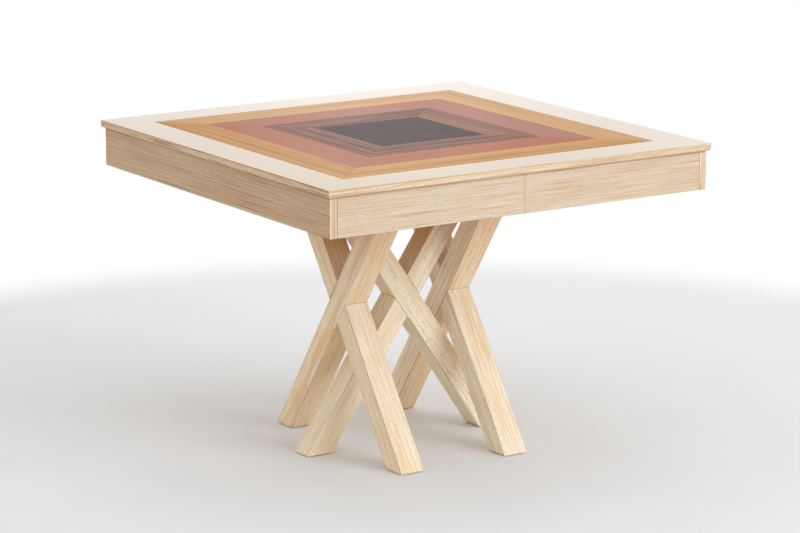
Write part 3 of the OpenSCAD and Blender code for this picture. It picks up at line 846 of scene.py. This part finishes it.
def ply_finish(low_z, thickness):
    """Plies whose grain runs front to back and side to side by turns, with dark glue between them."""
    finish = Finish("birch_plywood")
    x, y, z = (finish.part(finish.place, letter) for letter in "XYZ")
    layer = (z - low_z) / (thickness / ply_count)
    number = finish.put("ShaderNodeMath", {"operation": "FLOOR"}, {0: layer})
    odd = finish.put("ShaderNodeMath", {"operation": "MODULO"}, {0: number, 1: 2.0})
    along = y + (x - y) * odd
    across = x + (y - x) * odd
    colour, height = grow(finish, BIRCH, finish.join(along, across, z), (0.3, 1.4), 83.0)
    glue = finish.ease(abs(layer - number - 0.5), 0.42, 0.5)
    colour = finish.blend(odd * 0.35, colour, BIRCH.line)
    colour = finish.blend(glue * 0.5, colour, BIRCH.pore)
    return finish.close(colour, 0.6, height)


core_low, core_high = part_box("left_core_board")
PLYWOOD = ply_finish(core_low.z, core_high.z - core_low.z)
dress("left_core_board", PLYWOOD)
dress("right_core_board", PLYWOOD)


# Inlaid top
# Concentric strips with mitred corners: a pale veneered border with an ash edge, then orange, red and
# walnut strips about a near black centre. All are glued to the core and lacquered to a satin sheen.

border_low, border_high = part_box("left_border")
top_half = -border_low.x
top_level = border_high.z
bands_to_middle = 5.5
band_width = top_half / bands_to_middle
veneer_top = 0.0002
veneer_bottom = 0.0007
glue_top = 0.0013
glue_bottom = 0.0027
foot_top = 0.0055
foot_bottom = 0.002
lacquer_relief = 0.00004
lacquer_gloss = {"Specular IOR Level": 0.066}

Strip = namedtuple("Strip", "light middle dark")
PALE = Strip(shade(239, 235, 232), shade(228, 219, 209), shade(219, 209, 198))
ORANGE = Strip(shade(202, 154, 90), shade(190, 136, 76), shade(166, 108, 58))
RED = Strip(shade(186, 120, 88), shade(177, 108, 76), shade(166, 97, 68))
WALNUT = Strip(shade(154, 106, 84), shade(126, 83, 68), shade(78, 49, 44))
DARK = Strip(shade(68, 40, 41), shade(56, 29, 31), shade(47, 23, 26))
EDGE_ASH = ASH._replace(
    pale=shade(227, 213, 191),
    body=shade(214, 193, 163),
    line=shade(201, 166, 124),
    ring=0.0052,
    sway=0.03,
    reach=0.4,
    lines=0.55,
)
side_flame = shade(176, 126, 80)
end_flame = shade(152, 106, 66)
end_shade_tan = shade(190, 152, 112)
side_glue = shade(160, 136, 112)
corner_warmth = shade(250, 246, 238)
orange_glow = shade(207, 158, 87)
orange_reflection_tone = shade(232, 206, 170)
red_reflection_tone = shade(172, 122, 108)
walnut_tan = shade(168, 118, 92)


class StripFinish(Finish):
    """Finish for mitred strips: along, across and deep are a strip's own directions.

    Order counts the strips from the border, and inward goes from 0 at a strip's outer edge to 1 at
    its inner one.
    """

    def __init__(self, name, order):
        super().__init__(name)
        x, y, self.deep = (self.part(self.place, letter) for letter in "XYZ")
        self.on_end = abs(x) > abs(y)
        self.along = y * self.on_end + x * (1 - self.on_end)
        self.across = x * self.on_end + y * (1 - self.on_end)
        self.on_plus = self.across > 0.0
        self.inward = ((top_half - abs(self.across)) / band_width) - order
        self.grain = self.join(self.along, self.across, self.deep)

    def side(self, left, right, front, back):
        """A number that each of the four sides has for itself."""
        ends = left + (right - left) * self.on_plus
        sides = front + (back - front) * self.on_plus
        return sides + (ends - sides) * self.on_end


def lacquered(finish, colour, height):
    """Satin lacquer that fills the grain and mirrors the room faintly."""
    smudge = finish.noise(finish.place, (0.2, 0.2, 0.2), 9.0, 3.0)
    return finish.close(colour, 0.42 + 0.08 * smudge, height, lacquer_relief, **lacquer_gloss)


def border_edge(finish):
    """Solid ash with dark flames, strongest on the two ends, and painted shade on the two ends and the
    rounded foot.
    """
    colour, height = grow(finish, EDGE_ASH, finish.grain, (0.45, 0.2), 91.0)
    flame = finish.ease(finish.noise(finish.grain, (0.16, 0.02, 0.0035), 23.0), 0.52, 0.62)
    flame_colour = finish.blend(finish.on_end, side_flame, end_flame)
    colour = finish.blend(flame * (0.45 + 0.35 * finish.on_end), colour, flame_colour)
    # Painted shade darkens the two ends, and below it the rounded foot.
    colour = finish.blend(finish.on_end * 0.2, colour, end_shade_tan)
    foot = 1 - finish.ease(finish.deep, border_low.z + foot_bottom, border_low.z + foot_top)
    return finish.blend(foot * 0.3, colour, ASH.line), height


def border_veneer(finish):
    """Pale veneer, whiter towards the back and the right corner by painted reflection, and warmer at the
    near corner.
    """
    x, y = (finish.part(finish.place, letter) for letter in "XY")
    fibre = finish.noise(finish.grain, (0.2, 0.002, 0.002), 3.0, 3.0)
    colour = finish.blend(fibre, PALE.middle, PALE.dark)
    # Painted reflection: whiter towards the back and the right corner.
    back_reflection = finish.ease(x + y * 1.5, -0.6, 1.0)
    colour = finish.blend(back_reflection * 0.75, colour, PALE.light)
    right_corner_reflection = finish.ease(x - y, 0.55, 1.05)
    colour = finish.blend(right_corner_reflection * 0.45, colour, PALE.light)
    near_corner = 1 - finish.ease(x + y, -1.05, -0.6)
    return finish.tint(near_corner, colour, corner_warmth)


def border_finish():
    """Ash edge and pale veneer, with an uneven seam of dark glue between them."""
    finish = StripFinish("pale_border", 0)
    colour, height = border_edge(finish)
    on_top = finish.ease(finish.deep, top_level - veneer_bottom, top_level - veneer_top)
    seam = finish.ease(finish.deep, top_level - glue_bottom, top_level - glue_top) * (1 - on_top)
    smoke = finish.ease(finish.noise(finish.grain, (0.4, 0.004, 0.004), 17.0), 0.35, 0.6)
    glue = finish.blend(finish.on_end, side_glue, ASH.pore)
    colour = finish.blend(seam * smoke * (0.5 + 0.3 * finish.on_end), colour, glue)
    colour = finish.blend(on_top, colour, border_veneer(finish))
    return lacquered(finish, colour, height * (1 - on_top))


def streaked_finish(name, order, strip, cell, contrast, shift):
    """Straight-grained strip whose streaks run its whole length. Cell is the width of a fine one."""
    finish = StripFinish(name, order)
    broad = finish.noise(finish.grain, (1.2, cell * 4, 0.2), shift)
    fine = finish.noise(finish.grain, (0.3, cell, 0.05), shift + 3, 4.0)
    hair = finish.noise(finish.grain, (0.16, cell * 0.3, 0.01), shift + 7, 3.0)
    mixed = 0.3 * broad + 0.7 * fine
    low, high = 0.5 - contrast, 0.5 + contrast
    colour = finish.blend(finish.ease(mixed, low, 0.5), strip.dark, strip.middle)
    colour = finish.blend(finish.ease(mixed, 0.5, high), colour, strip.light)
    colour = finish.blend(finish.ease(hair, 0.48, 0.68) * 0.45, colour, strip.dark)
    return finish, colour, fine


def orange_finish():
    """Golden towards its inner edge, most of all in front, and paler on the right and at the back by
    painted reflection.
    """
    finish, colour, height = streaked_finish(
        "orange_inlay", 1, ORANGE, cell=0.006, contrast=0.14, shift=101.0
    )
    glow = finish.side(left=0.15, right=0.35, front=0.65, back=0.35)
    colour = finish.blend(finish.ease(finish.inward, 0.4, 0.9) * glow, colour, orange_glow)
    # Painted reflection pales the right side and the back.
    orange_reflection = finish.side(left=0.06, right=0.28, front=0.08, back=0.3)
    colour = finish.blend(orange_reflection, colour, orange_reflection_tone)
    return lacquered(finish, colour, height)


def red_finish():
    """Mauve in clouds, with painted reflection making them strongest on the right and at the back."""
    finish, colour, height = streaked_finish("red_inlay", 2, RED, cell=0.02, contrast=0.3, shift=113.0)
    cloud = finish.ease(finish.noise(finish.place, (0.35, 0.35, 0.35), 6.0), 0.35, 0.65)
    # Painted reflection greys the strip in clouds, most on the right and at the back.
    red_reflection = finish.side(left=0.4, right=1.0, front=0.2, back=0.95) * (0.5 + 0.5 * cloud)
    colour = finish.blend(red_reflection, colour, red_reflection_tone)
    return lacquered(finish, colour, height)


def walnut_finish():
    """Tan towards its inner edge, paler on the right by painted reflection, with a dark outer rim."""
    finish, colour, height = streaked_finish(
        "walnut_inlay", 3, WALNUT, cell=0.006, contrast=0.1, shift=127.0
    )
    tan = finish.ease(finish.inward, 0.5, 0.7) * finish.side(left=0.2, right=0.4, front=0.1, back=0.0)
    colour = finish.blend(tan, colour, walnut_tan)
    # Painted reflection pales the right side.
    walnut_reflection = finish.side(left=0.0, right=0.35, front=0.0, back=0.0)
    colour = finish.blend(walnut_reflection, colour, WALNUT.light)
    rim = 1 - finish.ease(finish.inward, 0.03, 0.09)
    darker = rim * finish.side(left=0.5, right=0.1, front=0.3, back=0.0)
    colour = finish.blend(darker, colour, WALNUT.dark)
    return lacquered(finish, colour, height)


def centre_finish():
    """Near black wood with a faint fibre and warmer clouds."""
    finish = Finish("dark_centre")
    fibre = finish.noise(finish.place, (0.25, 0.002, 0.01), 5.0, 3.0)
    cloud = finish.noise(finish.place, (0.2, 0.06, 0.1), 8.0)
    colour = finish.blend(fibre, DARK.dark, DARK.middle)
    colour = finish.blend(finish.ease(cloud, 0.45, 0.7) * 0.4, colour, DARK.light)
    return lacquered(finish, colour, fibre)


top_finishes = {
    "border": border_finish(),
    "orange_band": orange_finish(),
    "red_band": red_finish(),
    "walnut_band": walnut_finish(),
    "centre_panel": centre_finish(),
}
for layer, material in top_finishes.items():
    dress(f"left_{layer}", material)
    dress(f"right_{layer}", material)


# Folding leaf
# The leaf is stowed in the well between the slides: two ash boards with their inlaid faces together,
# joined by brass barrel hinges let into their edges, with pins that meet the halves when it is fitted.
# Its strips carry on the top's own, so that the open table looks like one long one.

leaf_low, leaf_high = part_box("leaf_lower_board")
leaf_strips = [DARK.middle, WALNUT.middle, RED.middle, ORANGE.middle, PALE.middle]
centre_half_bands = 1.5
inlay_skin = 0.0002
inlay_depth = 0.0006
brass_bright = shade(206, 170, 104)
brass_brown = shade(138, 102, 58)
LEAF_ASH = ASH._replace(
    pale=shade(233, 219, 196),
    body=shade(221, 200, 168),
    line=shade(199, 160, 112),
    ring=0.0052,
    lines=0.55,
)
BRASS = metal_finish("brushed_brass", brass_bright, brass_brown, 0.32)


def leaf_finish(name, shift):
    """Ash board whose inner face carries on the strips of the top."""
    finish = Finish(name)
    colour, height = grow(finish, LEAF_ASH, finish.place, (0.05, 0.66), shift)
    from_fold = finish.part(finish.place, "Y") - leaf_low.y
    inlaid = leaf_strips[0]
    for order, strip in enumerate(leaf_strips[1:]):
        inlaid = finish.blend(from_fold > (order + centre_half_bands) * band_width, inlaid, strip)
    streak = finish.noise(finish.place, (0.3, 0.009, 0.05), shift, 4.0)
    inlaid = finish.blend(finish.ease(streak, 0.4, 0.7) * 0.3, inlaid, WALNUT.dark)
    from_face = abs(finish.part(finish.place, "Z") - leaf_high.z)
    colour = finish.blend(1 - finish.ease(from_face, inlay_skin, inlay_depth), colour, inlaid)
    return timber(finish, LEAF_ASH, colour, height)


dress("leaf_lower_board", leaf_finish("ash_lower_leaf", 71.0))
dress("leaf_upper_board", leaf_finish("ash_upper_leaf", 73.0))
dress("leaf_hinges", BRASS)
dress("leaf_pins", plain_timber("birch_leaf_pins", BIRCH, "X", (0.03, 0.75), 79.0))


# Aprons
# Ash boards under the top. The end boards run the full depth, and their edges show as lipped strips
# at the corners. The front and back boards butt between them, and part with the two halves.

apron_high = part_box("left_end_apron")[1]
lip_skin = 0.0006
lip_stave_width = 0.0045
lip_seam_start = 0.0006
lip_seam_end = 0.0024
lip_shadow_bottom = 0.006
lip_shadow_top = 0.003
lip_shadow_brown = shade(226, 214, 200)
stave_pale = shade(236, 219, 198)
stave_brown = shade(216, 190, 152)
stave_line = shade(192, 158, 120)
APRON_ASH = ASH._replace(
    pale=shade(215, 200, 181),
    body=shade(203, 182, 157),
    line=shade(189, 151, 104),
    ring=0.0052,
    reach=0.2,
    lines=0.3,
    dashes=0.8,
)
# The end boards use a darker, more golden copy of the apron ash: painted shade.
SHADED_END_ASH = APRON_ASH._replace(
    pale=shade(208, 182, 150),
    body=shade(193, 162, 125),
    line=shade(151, 106, 58),
    pore=shade(118, 80, 44),
    reach=0.4,
    lines=0.45,
    dashes=0.85,
)


def lip_shadow(finish, colour):
    """Painted shadow that the top's lip casts as a brown line right under it."""
    level = finish.part(finish.place, "Z")
    line = finish.ease(level, apron_high.z - lip_shadow_bottom, apron_high.z - lip_shadow_top)
    return finish.tint(line, colour, lip_shadow_brown)


def side_apron_finish(name, shift):
    """Ash board whose grain runs along X."""
    finish = Finish(name)
    colour, height = grow(finish, APRON_ASH, finish.place, (0.2, -0.6), shift)
    return timber(finish, APRON_ASH, lip_shadow(finish, colour), height)


def staves(finish, shift):
    """Narrow upright staves, with a darker line where two of them meet."""
    stave = finish.noise(finish.place, (lip_stave_width, 0.4, 0.5), shift, 1.0)
    colour = finish.blend(finish.ease(stave, 0.4, 0.56), stave_pale, stave_brown)
    return finish.blend(1 - finish.ease(abs(stave - 0.48), 0.01, 0.045), colour, stave_line)


def end_apron_finish(name, shift):
    """Ash board along Y. Its own edge is a lip of staves, with a seam where the next board butts."""
    finish = Finish(name)
    x, y, z = (finish.part(finish.place, letter) for letter in "XYZ")
    on_lip = abs(y) > apron_high.y - lip_skin
    along = y + (z - y) * on_lip
    deep = z + (y - z) * on_lip
    colour, height = grow(finish, SHADED_END_ASH, finish.join(along, x, deep), (0.3, -0.4), shift)
    colour = finish.blend(on_lip * 0.85, colour, staves(finish, shift + 21))
    seam_start = lip_seam_start - apron_high.x
    seam_end = lip_seam_end - apron_high.x
    seam = 1 - finish.ease(abs(x), seam_start, seam_end)
    colour = finish.blend(seam * on_lip * 0.6, colour, SHADED_END_ASH.pore)
    return timber(finish, SHADED_END_ASH, lip_shadow(finish, colour), height)


dress("left_end_apron", end_apron_finish("ash_left_end", 131.0))
dress("right_end_apron", end_apron_finish("ash_right_end", 137.0))
for order, corner in enumerate(["left_front", "right_front", "left_back", "right_back"]):
    dress(f"{corner}_apron", side_apron_finish(f"ash_{corner}_apron", 141.0 + 3 * order))


# Battens and corner blocks
# Two beech battens are screwed up into the underside of each half and keep it flat. A triangular beech
# block is screwed into both aprons in each corner, and holds them square.

for side, shift in [("left", 151.0), ("right", 157.0)]:
    battens = plain_timber(f"beech_{side}_battens", BEECH, "Y", (0.1, 0.9), shift)
    blocks = plain_timber(f"beech_{side}_blocks", BEECH, "Z", (0.3, 0.3), shift + 2)
    dress(f"{side}_battens", battens)
    dress(f"{side}_corner_blocks", blocks)


# Wood screws
# Countersunk steel screws with a cross drive and a coarse thread, sixteen to each half. Eight hold the
# battens, four the corner blocks and four the slide arms.

screw_length = 0.022
screw_head_height = 0.0026
screw_head_radius = 0.0042
screw_thread_pitch = 0.0018
screw_thread_top = -0.0075
screw_drive_depth = 0.0014
screw_drive_taper = 0.55
drive_arm = 0.0026
drive_half_width = 0.0006


def cross(arm, half_width):
    """Radius of a cross drive at any angle, from the reach of its arms and their half width."""

    def radius(angle):
        wide = max(abs(cos(angle)), abs(sin(angle)))
        narrow = min(abs(cos(angle)), abs(sin(angle)))
        return arm / wide if narrow == 0 else min(arm / wide, half_width / narrow)

    return radius


def wood_screw_mesh(scale, drive_depth, drive_taper):
    """The origin is the middle of the head's top, and the screw points down."""
    core, outer = 0.0013, 0.002
    neck, shank = 0.0015, 0.0016
    point_length, thread_start = 0.002, 0.0028
    drive = cross(drive_arm, drive_half_width)

    def drive_floor(angle):
        return drive(angle) * drive_taper

    start = thread_start - screw_length
    loops = [(-screw_length, 0.0001), (point_length - screw_length, core * 0.7)]
    loops += threaded_loops(core, outer, screw_thread_pitch, start, screw_thread_top)
    loops += [
        (screw_thread_top + 0.0005, neck),
        (-screw_head_height, shank),
        (-0.0002, screw_head_radius),
        (0, screw_head_radius - 0.0002),
        (0, drive),
        (-drive_depth, drive_floor),
        (-drive_depth * 1.35, 0.0002),
    ]
    return turned_mesh("wood_screw", loops, scale)


def screw_spots(node):
    """Head and direction of each screw, found from the wide end of its solid."""
    spots = []
    for solid in solids_of(node):
        low, high = solid.min(0), solid.max(0)
        axis = int(np.argmax(high - low))
        middle = (low + high) / 2
        spread = np.linalg.norm(np.delete(solid - middle, axis, 1), axis=1)
        head_end = solid[spread > 0.9 * spread.max()][:, axis].mean()
        outward = 1.0 if head_end > middle[axis] else -1.0
        head = middle.copy()
        head[axis] = high[axis] if outward > 0 else low[axis]
        direction = np.zeros(3)
        direction[axis] = outward
        spots.append((head, direction))
    return spots


for side, seed in [("left", 7), ("right", 11)]:
    screw_set = fasteners(
        f"{side}_wood_screws",
        wood_screw_mesh(1, screw_drive_depth, screw_drive_taper),
        screw_spots(f"{side}_screws"),
        STEEL,
        f"{side}_half",
        seed,
    )
    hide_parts(f"{side}_screws")


# Locks and alignment pins
# Stamped brass levers turn on riveted plates under the left half and hook round studs on the right
# half. Each plate has four small steel screws, whose heads stand just proud of it. Birch pins keep
# the two halves level at the split.

plate_screw_scale = 0.62
plate_screw_inset = 0.0045
plate_screw_proud = 0.00026
plate_drive_depth = 0.0003
plate_drive_taper = 0.93
same_level = 0.0001


def plate_screw_spots(node):
    """Head and direction of the four screws near the corners of each plate, on its lower face."""
    spots = []
    for solid in solids_of(node):
        top = solid[:, 2].max()
        plate = solid[solid[:, 2] > top - same_level]
        low, high = plate.min(0), plate.max(0)
        under = solid[abs(solid[:, 0] - low[0]) < same_level][:, 2].min()
        for x in (low[0] + plate_screw_inset, high[0] - plate_screw_inset):
            for y in (low[1] + plate_screw_inset, high[1] - plate_screw_inset):
                spots.append(((x, y, under - plate_screw_proud), (0, 0, -1)))
    return spots


for node in ["lock_plates", "strike_plates", "front_lock_lever", "back_lock_lever"]:
    dress(node, BRASS)
for plate, side, seed in [("lock", "left", 13), ("strike", "right", 17)]:
    fasteners(
        f"{plate}_plate_screws",
        wood_screw_mesh(plate_screw_scale, plate_drive_depth, plate_drive_taper),
        plate_screw_spots(f"{plate}_plates"),
        STEEL,
        f"{side}_half",
        seed,
    )
dress("alignment_pins", plain_timber("birch_pins", BIRCH, "X", (0.03, 0.78), 163.0))
